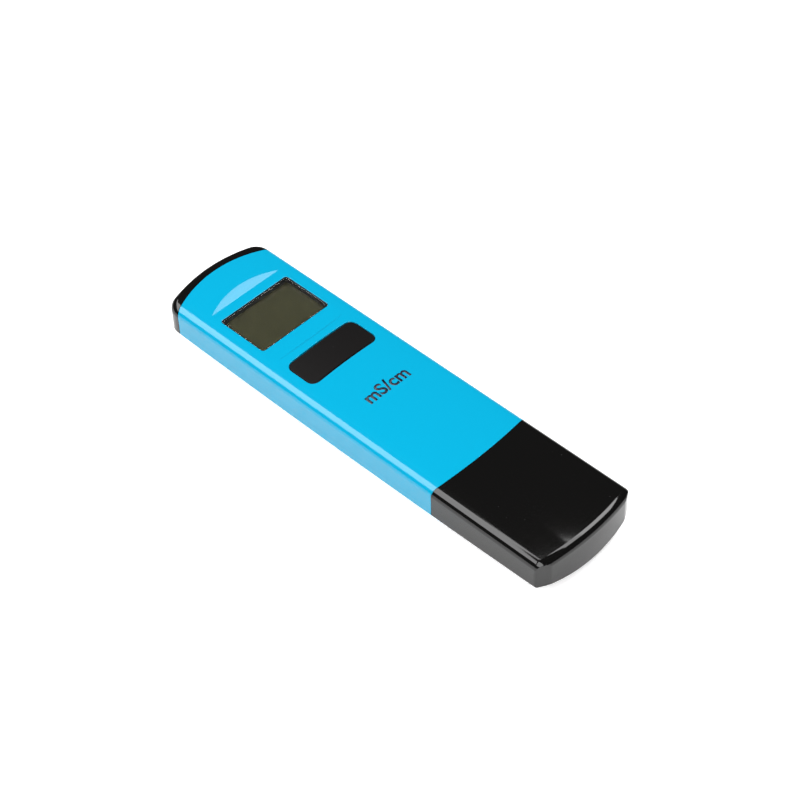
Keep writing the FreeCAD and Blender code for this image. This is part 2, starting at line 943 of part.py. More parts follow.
def battery_contact_negative():
    """The bowed spring leaf that presses on the cell's pole, with its tail up to the board."""
    x0 = negative_tail_x()
    x1 = -x0
    run = (x1 - x0) / 4
    y = well_middle - contact_width / 2
    high = ceiling_bottom
    low = cell_top + ring_gap
    t = contact_thickness
    points = [
        Vector(x0, y, board_bottom),
        Vector(x0, y, high - t),
        Vector(x0 + run, y, high - t),
        Vector(-run / 2, y, low),
        Vector(run / 2, y, low),
        Vector(x1, y, high - 2 * t),
        Vector(x1, y, high - t),
        Vector(run / 2, y, low + t),
        Vector(-run / 2, y, low + t),
        Vector(x0 + run, y, high),
        Vector(x0 + t, y, high),
        Vector(x0 + t, y, board_bottom),
    ]
    return prism(points, Vector(0, contact_width, 0))


def battery_contact_positive():
    """The strip that leans on the side of the can, with its tail up to the board."""
    x0 = positive_tail_x()
    x1 = x0 + contact_thickness
    reach = contact_width / 2
    return box(x0, x1, well_middle - reach, well_middle + reach, hub_top + 2 * fit_gap, board_bottom)


def battery_cover():
    """The round bayonet cover with its coin slot."""
    lid = disc(cover_radius, cover_sink, cover_top, 0, well_middle)
    outer_rim = min(lid.Edges, key=lambda edge: edge.CenterOfMass.z)
    lid = lid.makeChamfer(cover_edge, [outer_rim])
    hub = disc(hub_radius, cover_top - cover_thickness / 2, hub_top, 0, well_middle)
    lugs = []
    for number in range(lug_count):
        start = number * 360 / lug_count - lug_angle / 2
        lugs.append(wedge(lug_radius, hub_top - lug_height, hub_top, start, lug_angle))
    cover = joined(lid, hub, *lugs)
    cover = cover.cut(disc(hub_inner_radius, cover_top, hub_top + past, 0, well_middle))
    slot_corner = coin_slot_width * 0.49
    slot = plate(coin_slot_length, coin_slot_width, slot_corner, -past, coin_slot_depth, well_middle)
    return cover.cut(slot)


def battery_cover_seal():
    """The O-ring between the cover and the well's rim, its round section taken in flats."""
    radius = (seal_section - ring_gap) / 2
    middle = (hub_radius + counterbore_radius) / 2
    level = cover_top + seal_section / 2
    corners = []
    for number in range(seal_flats):
        angle = radians((number + 0.5) * 360 / seal_flats)
        corners.append(Vector(middle + radius * cos(angle), well_middle, level + radius * sin(angle)))
    section = Part.Face(Part.makePolygon(corners + corners[:1]))
    return section.revolve(Vector(0, well_middle, 0), Vector(0, 0, 1), 360)


def save(name, shape):
    """Write one piece as a STEP file."""
    shape.exportStep(os.path.join("parts", name + ".step"))


PIECES = [
    front_shell,
    rear_shell,
    end_cap,
    end_cap_seal,
    protective_cap,
    probe_body,
    neck_seal,
    probe_gasket,
    electrode_pins,
    temperature_sensor,
    sensor_leads,
    window_lens,
    lcd_frame,
    lcd_polariser,
    lcd_front_glass,
    lcd_rear_glass,
    lcd_reflector,
    lcd_connector,
    circuit_board,
    board_screws,
    controller_chip,
    board_parts,
    tactile_switch,
    switch_plunger,
    button_key,
    battery_cell,
    battery_contact_negative,
    battery_contact_positive,
    battery_cover,
    battery_cover_seal,
]


def main():
    """Build and save every piece."""
    os.makedirs("parts", exist_ok=True)
    for piece in PIECES:
        save(piece.__name__, piece())


main()
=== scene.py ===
"""Looks of a pocket conductivity meter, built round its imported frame.

Metres. +Y points to the display end, -Y to the probe and +Z out of the face.
"""
from math import asin, atan2, cos, pi, radians, sin, sqrt, tan

import bpy
from mathutils import Matrix, Vector


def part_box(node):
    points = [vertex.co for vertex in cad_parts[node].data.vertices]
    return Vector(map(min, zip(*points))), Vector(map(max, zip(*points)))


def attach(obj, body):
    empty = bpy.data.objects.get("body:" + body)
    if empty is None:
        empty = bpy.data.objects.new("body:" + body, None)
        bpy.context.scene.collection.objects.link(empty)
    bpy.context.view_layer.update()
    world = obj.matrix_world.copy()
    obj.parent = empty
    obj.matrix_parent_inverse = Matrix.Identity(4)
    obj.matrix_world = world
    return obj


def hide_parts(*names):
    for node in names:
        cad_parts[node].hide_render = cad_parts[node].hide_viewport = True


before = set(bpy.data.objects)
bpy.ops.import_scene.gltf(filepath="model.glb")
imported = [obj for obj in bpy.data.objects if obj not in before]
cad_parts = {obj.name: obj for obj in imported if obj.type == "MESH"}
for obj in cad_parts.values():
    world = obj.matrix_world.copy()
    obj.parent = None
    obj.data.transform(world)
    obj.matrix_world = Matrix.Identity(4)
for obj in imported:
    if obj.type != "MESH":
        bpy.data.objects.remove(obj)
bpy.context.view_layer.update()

mm = 0.001

# How near counts as touching, how near vertices merge, and how far a cutter runs past what it cuts
hair = 0.01 * mm
merge_distance = 0.001 * mm
past = 1.0 * mm

# How finely round stretches are divided, and the angle up to which shading runs over an edge
smooth_angle = radians(38)
end_arc_steps = 40
display_corner_steps = 14
cap_corner_steps = 12
flank_steps = 40
bow_steps = 72
keel_round_steps = 12
seam_steps = 49
edge_steps = 3
small_disc_sides = 48
thread_sides = 32
wedge_step_angle = 3

# The outer form, as the frame has it
half_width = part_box("protective_cap")[1].x
half_length = -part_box("protective_cap")[0].y
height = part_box("front_shell")[1].z
crown_rise = 1.3 * mm
top_round = 2.3 * mm
top_round_steps = 14
display_end_radius = 65.0 * mm
display_corner = 5.55 * mm
cap_end_radius = 76.5 * mm
cap_corner = 2.7 * mm
back_half_flat = 14.0 * mm
back_round = 5.0 * mm
flank_foot = 5.45 * mm
flank_radius = 2400.0 * mm
end_foot = 4.65 * mm
end_bow_radius = 34.4 * mm
end_slope_run = 6.4 * mm
end_slope_round = 8.0 * mm
foot_round = 0.3 * mm
strip_step = 1.0 * mm
strip_end = 75.0 * mm
least_round = 0.4 * mm
print_proud = 0.012 * mm
face_z = height - print_proud

# Seams and walls
seam_gap = 0.12 * mm
end_seam = half_length - 3.7 * mm
end_seam_radius = 46.0 * mm
cap_seam = 42.05 * mm - half_length
cap_seam_radius = 118.0 * mm
seam_edge = 0.14 * mm
cap_top_end = -70.0 * mm
wall = 1.8 * mm
bulkhead = 2.2 * mm
spigot_depth = 5.0 * mm
spigot_wall = 1.2 * mm
fit_gap = 0.1 * mm
lip_thickness = 0.9 * mm
lip_height = 1.5 * mm
lip_root = 0.7 * mm
ring_width = 1.6 * mm
ring_depth = 0.9 * mm
ring_set_back = 1.8 * mm

# Bosses that hold the circuit board
boss_radius = 2.5 * mm
screw_radius = 1.0 * mm
screw_length = 5.0 * mm
board_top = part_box("circuit_board")[1].z
boss_x = 13.0 * mm
boss_near = -26.09 * mm
boss_far = 63.8 * mm

# Battery well and its cover
cover_low, cover_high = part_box("battery_cover")
well_y = (cover_low.y + cover_high.y) / 2
cover_radius = 12.4 * mm
cover_thickness = 1.75 * mm
cover_top = cover_low.z + cover_thickness
cover_edge = 0.35 * mm
cover_edge_steps = 4
hub_radius = 11.1 * mm
hub_inner_radius = 10.3 * mm
hub_top = cover_high.z
counterbore_radius = 12.6 * mm
well_radius = 11.3 * mm
well_wall = 1.3 * mm
well_ceiling = 0.8 * mm
ceiling_bottom = 6.3 * mm
seal_section = 0.95 * mm
lug_count = 3
lug_radius = 12.1 * mm
lug_height = 0.9 * mm
lug_angle = 24.0
unlock_angle = 50.0
slot_gap = 0.12 * mm
slot_slack_angle = 1.5
drop_slack_angle = 0.3
hub_overlap = cover_thickness / 2
coin_slot_length = 15.0 * mm
coin_slot_width = 2.0 * mm
coin_slot_depth = 0.9 * mm
coin_slot_corner = coin_slot_width * 0.49
coin_slot_rim = 0.15 * mm
contact_places = (-6.5 * mm, 10.05 * mm)
contact_thickness = 0.3 * mm
contact_half_width = 2.1 * mm

# Recess, window and key
panel_depth = 0.66 * mm
panel_beyond = 13.3 * mm
panel_far_run = 3.6 * mm
panel_before = 15.6 * mm
panel_near_run = 1.1 * mm
lens_low, lens_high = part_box("window_lens")
window_width = lens_high.x - lens_low.x + 2 * fit_gap
window_length = lens_high.y - lens_low.y + 2 * fit_gap
window_middle = (lens_low.y + lens_high.y) / 2
window_corner = 1.0 * mm
window_ledge = 0.35 * mm
window_rim = 0.18 * mm
window_margin = 0.3 * mm
ramp_zone_near = 2.0 * mm
ramp_zone_far = 5.0 * mm
key_width = 28.0 * mm
key_length = 12.2 * mm
key_corner = 2.8 * mm
key_gap = 0.15 * mm
key_sink = 0.05 * mm
key_edge = 0.35 * mm
key_edge_steps = 5
key_rim = 0.12 * mm
key_crown_depth = 1.5 * mm
flange_crown_depth = 1.0 * mm
key_low, key_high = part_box("button_key")
key_middle = (key_low.y + key_high.y) / 2
key_flange_low = 13.0 * mm
key_flange_rim = 0.9 * mm
key_stem_radius = 2.2 * mm

# The probe's stem through the case wall
stem_width = 18.0 * mm
stem_height = 8.7 * mm
stem_middle = 8.5 * mm
stem_corner = 1.5 * mm

# Rounding of the pieces that are taken from the frame
probe_edge = 0.2 * mm
electrode_edge = 0.3 * mm
sensor_edge = 0.5 * mm
lens_edge = 0.04 * mm

# The unit mark and the recess in place
panel_z = height - panel_depth
mark_width = 17.0 * mm
mark_left = -7.6 * mm
mark_baseline = -0.4 * mm
mark_weight = 0.025
mark_depth = 0.1 * mm
ceiling_z = height - wall
panel_far = window_middle + panel_beyond
panel_near = window_middle - panel_before


def deselect():
    """Leave nothing selected, so that an operator acts only on what is picked next."""
    bpy.ops.object.select_all(action="DESELECT")


def pick(obj):
    """Make one object the selected and active one."""
    deselect()
    obj.select_set(True)
    bpy.context.view_layer.objects.active = obj


def rename(name):
    """Name the object that an operator has just added, its mesh too."""
    obj = bpy.context.object
    obj.name = name
    obj.data.name = name
    return obj


def settle(obj):
    """Put the object's place and size into its mesh."""
    pick(obj)
    bpy.ops.object.transform_apply(location=True, rotation=True, scale=True)
    return obj


def block(name, x0, x1, y0, y1, z0, z1):
    """A box from its limits, the start of a shape."""
    deselect()
    middle = ((x0 + x1) / 2, (y0 + y1) / 2, (z0 + z1) / 2)
    bpy.ops.mesh.primitive_cube_add(size=1, location=middle, scale=(x1 - x0, y1 - y0, z1 - z0))
    return settle(rename(name))


def select_edges(obj, chosen):
    """Go into edit mode with only the edges selected that chosen(edge, vertices, mesh) accepts."""
    pick(obj)
    bpy.ops.object.mode_set(mode="EDIT")
    bpy.ops.mesh.select_mode(type="EDGE")
    bpy.ops.mesh.select_all(action="DESELECT")
    bpy.ops.object.mode_set(mode="OBJECT")
    mesh = obj.data
    for edge in mesh.edges:
        ends = [mesh.vertices[i].co for i in edge.vertices]
        edge.select = bool(chosen(edge, ends))
    bpy.ops.object.mode_set(mode="EDIT")


def select_faces(obj, chosen):
    """Go into edit mode with only the faces selected that chosen(face) accepts."""
    pick(obj)
    bpy.ops.object.mode_set(mode="EDIT")
    bpy.ops.mesh.select_mode(type="FACE")
    bpy.ops.mesh.select_all(action="DESELECT")
    bpy.ops.object.mode_set(mode="OBJECT")
    for face in obj.data.polygons:
        face.select = bool(chosen(face))
    bpy.ops.object.mode_set(mode="EDIT")


def leave():
    """Back to object mode."""
    bpy.ops.object.mode_set(mode="OBJECT")


def bevel(obj, chosen, width, steps):
    """Round the edges that chosen accepts."""
    select_edges(obj, chosen)
    bpy.ops.mesh.bevel(offset=width, offset_type="OFFSET", segments=steps, profile=0.5, clamp_overlap=True)
    leave()
    return obj


def upright(edge, ends):
    """True for an edge that runs along Z."""
    run = ends[1] - ends[0]
    return abs(run.z) > run.length * 0.999


def plate(name, span_x, span_y, corner, z0, z1, y=0.0, x=0.0, steps=8):
    """A flat plate with rounded corners."""
    made = block(name, x - span_x / 2, x + span_x / 2, y - span_y / 2, y + span_y / 2, z0, z1)
    return bevel(made, upright, corner, steps)


def disc(name, radius, z0, z1, x=0.0, y=0.0, sides=96):
    """An upright round blank."""
    deselect()
    bpy.ops.mesh.primitive_cylinder_add(
        vertices=sides, radius=radius, depth=z1 - z0, location=(x, y, (z0 + z1) / 2))
    return settle(rename(name))


def combine(obj, tool, operation, keep=False):
    """Boolean one mesh with another, which is used up unless it is kept."""
    pick(obj)
    modifier = obj.modifiers.new("cut", "BOOLEAN")
    modifier.operation = operation
    modifier.solver = "EXACT"
    modifier.object = tool
    bpy.ops.object.modifier_apply(modifier=modifier.name)
    if not keep:
        bpy.data.objects.remove(tool)
    return obj


def copied(obj, name):
    """A copy with a mesh of its own."""
    pick(obj)
    bpy.ops.object.duplicate()
    return rename(name)


def chain_start(name, point):
    """One vertex, the start of an outline."""
    deselect()
    bpy.ops.mesh.primitive_plane_add(size=mm, location=point)
    made = settle(rename(name))
    bpy.ops.object.mode_set(mode="EDIT")
    bpy.ops.mesh.select_mode(type="VERT")
    bpy.ops.mesh.select_all(action="SELECT")
    bpy.ops.mesh.merge(type="CENTER")
    return made


def chain_arc(centre, angle, steps):
    """Carry the outline on round a centre, counter-clockwise seen from above."""
    bpy.ops.mesh.spin(steps=steps, dupli=False, angle=angle, center=centre, axis=(0, 0, -1))


def chain_line(run):
    """Carry the outline on in a straight line."""
    bpy.ops.mesh.extrude_region_move(TRANSFORM_OT_translate={"value": run})


def raise_outline(obj, rise):
    """Close the outline, fill it and pull it up into a solid."""
    bpy.ops.mesh.select_all(action="SELECT")
    bpy.ops.mesh.remove_doubles(threshold=merge_distance)
    bpy.ops.mesh.edge_face_add()
    bpy.ops.mesh.extrude_region_move(TRANSFORM_OT_translate={"value": (0, 0, rise)})
    bpy.ops.mesh.select_all(action="SELECT")
    bpy.ops.mesh.normals_make_consistent(inside=False)
    leave()
    return obj


def sag(radius, half_chord):
    """How far an arc rises over its chord."""
    return radius - sqrt(radius**2 - half_chord**2)


def outline_block(name, inset):
    """The outline seen from above, moved inwards and pulled up to the height of the crown."""
    half = half_width - inset
    z = -past
    places = []
    for radius, corner in ((display_end_radius, display_corner), (cap_end_radius, cap_corner)):
        small = max(corner - inset, least_round)
        hub = half_length - radius
        x = half - small
        rise = sqrt((radius - inset - small) ** 2 - x**2)
        places.append((hub, x, hub + rise, atan2(rise, x)))
    (far_hub, far_x, far_y, far_angle), (near_hub, near_x, near_y, near_angle) = places
    made = chain_start(name, (half, far_y, z))
    chain_arc((far_x, far_y, z), far_angle, display_corner_steps)
    chain_arc((0, far_hub, z), pi - 2 * far_angle, end_arc_steps)
    chain_arc((-far_x, far_y, z), far_angle, display_corner_steps)
    chain_line((0, -far_y - near_y, 0))
    chain_arc((-near_x, -near_y, z), near_angle, cap_corner_steps)
    chain_arc((0, -near_hub, z), pi - 2 * near_angle, end_arc_steps)
    chain_arc((near_x, -near_y, z), near_angle, cap_corner_steps)
    chain_line((0, far_y + near_y, 0))
    return raise_outline(made, face_z - inset - z)


def crown(obj, from_z):
    """Lower everything above a level towards the long edges, as the crowned face does."""
    group = obj.vertex_groups.new(name="crown")
    for vertex in obj.data.vertices:
        if vertex.co.z > from_z:
            group.add([vertex.index], min((vertex.co.x / half_width) ** 2, 1.0), "REPLACE")
    pick(obj)
    modifier = obj.modifiers.new("crown", "DISPLACE")
    modifier.direction = "Z"
    modifier.mid_level = 0.0
    modifier.strength = -crown_rise
    modifier.vertex_group = group.name
    bpy.ops.object.modifier_apply(modifier=modifier.name)
    obj.vertex_groups.clear()
    return obj


def strips(obj, top):
    """Cut the flat top into strips along Y, so that it can follow the crown."""
    def on_top(face):
        return face.normal.z > 0.99 and face.center.z > top - hair

    count = int(2 * half_width / strip_step)
    select_faces(obj, on_top)
    for number in range(1, count):
        x = -half_width + number * 2 * half_width / count
        bpy.ops.mesh.bisect(plane_co=(x, 0, 0), plane_no=(1, 0, 0))
        leave()
        select_faces(obj, on_top)
    for y in (strip_end, -strip_end):
        bpy.ops.mesh.bisect(plane_co=(0, y, 0), plane_no=(0, 1, 0))
        leave()
        select_faces(obj, on_top)
    leave()
    return obj


def quarter(obj, level, y):
    """Cut a flat face into four before an opening is cut in its middle."""
    for plane in ((1, 0, 0), (0, 1, 0)):
        select_faces(obj, lambda face: abs(face.normal.z) > 0.999 and abs(face.center.z - level) < hair)
        bpy.ops.mesh.bisect(plane_co=(0, y, 0), plane_no=plane)
        leave()
    return obj


def keel_corners(half, flat, foot, inset):
    """One edge of the underside in side view, moved inwards: the end of the flat, the foot and the slope."""
    slope = atan2(foot, half - flat)
    reach = flat * sin(slope) - inset
    floor = (reach + inset * cos(slope)) / sin(slope)
    out = half + 2 * past
    return floor, out, (out * sin(slope) - reach) / cos(slope), slope


def round_rim(obj, level, hub, radius, rounding, slope):
    """Round the edge where the flat back turns up into the slope."""
    def on_rim(edge, ends):
        spans = [Vector((end.x - hub.x, end.y - max(min(end.y, hub.y), -hub.y))).length for end in ends]
        return all(end.z < level + hair for end in ends) and min(spans) > radius - hair
    return bevel(obj, on_rim, rounding * tan(slope / 2), keel_round_steps)


def side_keel(name, side, inset):
    """A long block whose underside slopes up to a bowed foot line on one side, 1 or -1."""
    floor, out, out_z, slope = keel_corners(half_width, back_half_flat, flank_foot, inset)
    top = height + 2 * past
    near = -half_width - 2 * past
    turn = asin((half_length + 2 * past) / flank_radius)
    hub = Vector((side * (half_width - flank_radius), 0, 0))
    made = chain_start(name, (side * near, 0, inset))
    chain_line((side * (floor - near), 0, 0))
    chain_line((side * (out - floor), 0, out_z - inset))
    chain_line((0, 0, top - out_z))
    chain_line((side * (near - out), 0, 0))
    chain_line((0, 0, inset - top))
    bpy.ops.mesh.select_all(action="SELECT")
    bpy.ops.mesh.remove_doubles(threshold=merge_distance)
    bpy.ops.transform.rotate(value=turn, orient_axis="Z", center_override=hub)
    bpy.ops.mesh.select_all(action="SELECT")
    chain_arc(hub, 2 * turn, flank_steps)
    bpy.ops.mesh.select_all(action="SELECT")
    bpy.ops.mesh.fill_holes(sides=0)
    bpy.ops.mesh.normals_make_consistent(inside=False)
    leave()
    rounding = max(back_round - inset, least_round)
    return round_rim(made, inset, hub, floor - half_width + flank_radius, rounding, slope)


def end_keel(name, inset):
    """A block whose underside rises like a bow at both ends."""
    flat = half_length - end_slope_run
    floor, out, out_z, slope = keel_corners(half_length, flat, end_foot, inset)
    top = height + 2 * past
    hub = half_length - end_bow_radius
    made = chain_start(name, (0, hub, inset))
    chain_line((floor - hub, 0, 0))
    chain_line((out - floor, 0, out_z - inset))
    chain_line((0, 0, top - out_z))
    chain_line((hub - out, 0, 0))
    bpy.ops.mesh.select_all(action="SELECT")
    chain_arc((0, hub, 0), pi, bow_steps)
    chain_line((0, -2 * hub, 0))
    chain_arc((0, -hub, 0), pi, bow_steps)
    chain_line((0, 2 * hub, 0))
    bpy.ops.mesh.select_all(action="SELECT")
    bpy.ops.mesh.remove_doubles(threshold=merge_distance)
    bpy.ops.mesh.normals_make_consistent(inside=False)
    leave()
    rounding = max(end_slope_round - inset, least_round)
    return round_rim(made, inset, Vector((0, hub, 0)), floor - hub, rounding, slope)


def meter_form(name, inset):
    """The closed outer form of the whole meter, or the same moved inwards for its hollow."""
    made = outline_block(name, inset)
    top = face_z - inset
    if inset == 0:
        bevel(made, lambda edge, ends: min(end.z for end in ends) > top - hair, top_round, top_round_steps)
    strips(made, top)
    crown(made, height / 2)
    for side in (-1, 1):
        combine(made, side_keel("side_keel", side, inset), "INTERSECT")
    return combine(made, end_keel("end_keel", inset), "INTERSECT")


def seam_tool(name, apex, radius, bulge):
    """Everything on the probe side of a curved seam. The seam bulges to +Y (1) or to -Y (-1)."""
    reach = half_width + past
    z = -2 * past
    turn = 2 * asin(reach / radius)
    made = chain_start(name, (reach, apex - bulge * sag(radius, reach), z))
    chain_arc((0, apex - bulge * radius, z), bulge * turn, seam_steps)
    bpy.ops.mesh.select_all(action="SELECT")
    bpy.ops.mesh.extrude_region_move(TRANSFORM_OT_translate={"value": (0, -2.2 * half_length, 0)})
    bpy.ops.mesh.select_all(action="SELECT")
    bpy.ops.mesh.extrude_region_move(TRANSFORM_OT_translate={"value": (0, 0, height + 4 * past)})
    bpy.ops.mesh.select_all(action="SELECT")
    bpy.ops.mesh.normals_make_consistent(inside=False)
    leave()
    return made


def below_cap_seam(shift):
    """The probe side of the protective cap's seam, moved along Y."""
    return seam_tool("cap_seam_tool", cap_seam + shift, cap_seam_radius, -1)


def below_end_seam(shift):
    """The probe side of the end cap's seam, moved along Y."""
    return seam_tool("end_seam_tool", end_seam + shift, end_seam_radius, 1)


def smooth(obj, creases=None):
    """Smooth shading that stops at real edges and at the creases that are named."""
    pick(obj)
    bpy.ops.object.shade_smooth_by_angle(angle=smooth_angle)
    if creases:
        select_edges(obj, creases)
        bpy.ops.mesh.mark_sharp()
        leave()
    modifier = obj.modifiers.new("normals", "WEIGHTED_NORMAL")
    modifier.keep_sharp = True
    bpy.ops.object.modifier_apply(modifier=modifier.name)
    return obj


def on_cap_seam(point, tolerance=0.05 * mm):
    """True for a point on either side of the protective cap's seam."""
    place = cap_seam + sag(cap_seam_radius, abs(point.x))
    return abs(point.y - place) < seam_gap / 2 + tolerance


def on_end_seam(point, tolerance=0.05 * mm):
    """True for a point on either side of the end cap's seam."""
    place = end_seam - sag(end_seam_radius, abs(point.x))
    return abs(point.y - place) < seam_gap / 2 + tolerance


def edge_notes(obj, note):
    """What note(face) says of the faces that an edge touches, by the edge's key."""
    notes = {}
    for face in obj.data.polygons:
        said = note(face)
        for edge_key in face.edge_keys:
            notes.setdefault(edge_key, []).append(said)
    return notes


def seam_edges(obj, test):
    """The edges between the outside and a seam's own face."""
    corners = obj.data.vertices
    notes = edge_notes(obj, lambda face: all(test(corners[i].co) for i in face.vertices))

    def chosen(edge, ends):
        on_seam = notes.get(edge.key, [])
        return all(test(end) for end in ends) and len(on_seam) == 2 and on_seam[0] != on_seam[1]
    return chosen


def recess_block():
    """The flat recess round the display, with a long ramp at its far end and a short one near the key."""
    reach = half_width + past
    made = block("recess", -reach, reach, panel_near, panel_far, panel_z, panel_z + 2 * panel_depth)

    def far_top(edge, ends):
        return all(end.z > panel_z + hair and end.y > panel_near + hair for end in ends)

    def near_top(edge, ends):
        return all(end.z > panel_z + hair and end.y < panel_near + hair for end in ends)

    for chosen, run in ((far_top, 2 * panel_far_run), (near_top, -2 * panel_near_run)):
        select_edges(made, chosen)
        bpy.ops.transform.translate(value=(0, run, 0))
        leave()
    return made


def bar(name, span_x, span_z, corner, y0, y1, z):
    """A bar along Y with rounded edges."""
    made = block(name, -span_x / 2, span_x / 2, y0, y1, z - span_z / 2, z + span_z / 2)

    def along(edge, ends):
        run = ends[1] - ends[0]
        return abs(run.y) > run.length * 0.999
    return bevel(made, along, corner, 8)


def soften_foot(obj):
    """Round the edge where the upright walls meet the sloped underside."""
    notes = edge_notes(obj, lambda face: abs(face.normal.z))

    def at_foot(edge, ends):
        slopes = notes.get(edge.key, [])
        return max(end.z for end in ends) < height / 2 and min(slopes) < 0.02 and max(slopes) > 0.15
    return bevel(obj, at_foot, foot_round, 4)


def lip_strip(name, side, inner, outer, z0, z1):
    """A strip along one long wall of the case, on the side 1 or -1."""
    near = cap_seam + seam_gap / 2 + bulkhead + past
    far = end_seam - sag(end_seam_radius, half_width) - spigot_depth - past
    x0, x1 = sorted((side * inner, side * outer))
    return block(name, x0, x1, near, far, z0, z1)


def wedge(name, radius, z0, z1, start, angle):
    """A sector round the battery well's axis, from a start angle in degrees."""
    hub = Vector((0, well_y, z0))
    first = Vector((cos(radians(start)), sin(radians(start)), 0)) * radius
    last = Vector((cos(radians(start + angle)), sin(radians(start + angle)), 0)) * radius
    made = chain_start(name, hub)
    chain_line(first)
    chain_arc(hub, radians(angle), round(angle / wedge_step_angle))
    chain_line(-last)
    return raise_outline(made, z1 - z0)


def rim_of(low, high, level, slack=0.02 * mm):
    """Accepts the edges of an upright opening's rim: within these limits and above this level."""
    def chosen(edge, ends):
        for end in ends:
            if end.z < level - slack or not low.x - slack < end.x < high.x + slack:
                return False
            if not low.y - slack < end.y < high.y + slack:
                return False
        return True
    return chosen


def opening_edges(obj, span_x, span_y, middle, level, up=1):
    """The edges between the outer face and the upright wall of an opening in the top (1) or the back (-1)."""
    notes = edge_notes(obj, lambda face: up * face.normal.z)
    low = Vector((-span_x / 2, middle - span_y / 2, 0))
    high = Vector((span_x / 2, middle + span_y / 2, 0))
    inside = rim_of(low, high, level)

    def chosen(edge, ends):
        slopes = notes.get(edge.key, [])
        return inside(edge, ends) and len(slopes) == 2 and min(slopes) < 0.1 and max(slopes) > 0.9
    return chosen


def hollow_case(outer_form, inner_form):
    """The stretch between the seams, hollow inside, with the hole for the probe's stem."""
    case = combine(copied(outer_form, "case"), below_end_seam(-seam_gap / 2), "INTERSECT")
    combine(case, below_cap_seam(seam_gap / 2), "DIFFERENCE")
    cavity = combine(copied(inner_form, "cavity"), below_cap_seam(seam_gap / 2 + bulkhead), "DIFFERENCE")
    combine(case, cavity, "DIFFERENCE")
    hole = bar("stem_hole", stem_width + 2 * fit_gap, stem_height + 2 * fit_gap, stem_corner + fit_gap,
               cap_seam - past, cap_seam + 4 * bulkhead, stem_middle)
    return combine(case, hole, "DIFFERENCE")


def make_front(case, lid):
    """The upper shell with its bosses, recess, window and key opening."""
    front = combine(copied(case, "case_front"), lid, "INTERSECT", keep=True)
    for x in (-boss_x, boss_x):
        for y in (boss_near, boss_far):
            boss = disc("boss", boss_radius, board_top, ceiling_z + fit_gap, x, y, small_disc_sides)
            combine(front, boss, "UNION")
            thread = disc("thread", screw_radius, board_top - past, board_top + screw_length, x, y,
                          thread_sides)
            combine(front, thread, "DIFFERENCE")
    combine(front, recess_block(), "DIFFERENCE")
    quarter(front, panel_z, window_middle)
    pocket = plate("pocket", window_width, window_length, window_corner, lens_low.z, height + past,
                   window_middle)
    combine(front, pocket, "DIFFERENCE")
    opening = plate("opening", window_width - 2 * window_ledge, window_length - 2 * window_ledge,
                    window_corner - window_ledge, ceiling_z - wall, lens_low.z + past, window_middle)
    combine(front, opening, "DIFFERENCE")
    key_hole = plate("key_hole", key_width, key_length, key_corner, ceiling_z - 2 * wall, height + past,
                     key_middle)
    combine(front, key_hole, "DIFFERENCE")
    window_edges = opening_edges(front, window_width, window_length, window_middle, panel_z)
    bevel(front, window_edges, window_rim, edge_steps)
    key_edges = opening_edges(front, key_width, key_length, key_middle, height - crown_rise)
    return bevel(front, key_edges, key_rim, 2)


def make_rear(case, lid):
    """The lower shell with its lips and the well that the battery cover turns in."""
    rear = combine(copied(case, "case_rear"), lid, "DIFFERENCE")
    lip_face = half_width - wall - fit_gap
    for side in (-1, 1):
        lip = lip_strip("lip", side, lip_face - lip_thickness, lip_face, flank_foot - lip_root,
                        flank_foot + lip_height)
        combine(rear, lip, "UNION")
    well = disc("well", counterbore_radius + well_wall, wall / 3, ceiling_bottom + well_ceiling, 0, well_y)
    combine(rear, well, "UNION")
    counterbore = disc("counterbore", counterbore_radius, -past, cover_top + seal_section, 0, well_y)
    combine(rear, counterbore, "DIFFERENCE")
    combine(rear, disc("cell_room", well_radius, past, ceiling_bottom, 0, well_y), "DIFFERENCE")
    entry = lug_angle + 2 * slot_slack_angle
    low = hub_top - lug_height - slot_gap
    top = hub_top + slot_gap
    for number in range(lug_count):
        start = number * 360 / lug_count - entry / 2 - unlock_angle
        turn = wedge("turn", lug_radius + slot_gap, low, top, start, entry + unlock_angle)
        combine(rear, turn, "DIFFERENCE")
        drop = wedge("drop", lug_radius + 1.3 * slot_gap, cover_top, top + 0.3 * slot_gap,
                     start - drop_slack_angle, entry + 2 * drop_slack_angle)
        combine(rear, drop, "DIFFERENCE")
    for x in contact_places:
        tail = block("tail", x - fit_gap, x + contact_thickness + fit_gap, well_y - contact_half_width,
                     well_y + contact_half_width, ceiling_bottom - past, ceiling_bottom + well_ceiling + past)
        combine(rear, tail, "DIFFERENCE")
    return rear


def make_end_cap(outer_form, inner_form):
    """The cap that closes the display end, with its hollow spigot and the groove for its ring."""
    end = combine(copied(outer_form, "end_cap_skin"), below_end_seam(seam_gap / 2), "DIFFERENCE")
    plug = combine(meter_form("plug", wall + fit_gap), below_end_seam(-spigot_depth), "DIFFERENCE")
    combine(end, plug, "UNION")
    combine(end, meter_form("room", wall + fit_gap + spigot_wall), "DIFFERENCE")
    ring_floor = meter_form("ring_floor", wall + ring_depth)
    groove = combine(copied(inner_form, "ring_groove"), ring_floor, "DIFFERENCE")
    combine(groove, below_end_seam(-ring_set_back), "INTERSECT")
    combine(groove, below_end_seam(-ring_set_back - ring_width), "DIFFERENCE")
    return combine(end, groove, "DIFFERENCE")


def make_probe_cap(outer_form, inner_form):
    """The hollow cap over the probe."""
    cap = combine(copied(outer_form, "probe_cap"), below_cap_seam(-seam_gap / 2), "INTERSECT")
    return combine(cap, inner_form, "DIFFERENCE", keep=True)


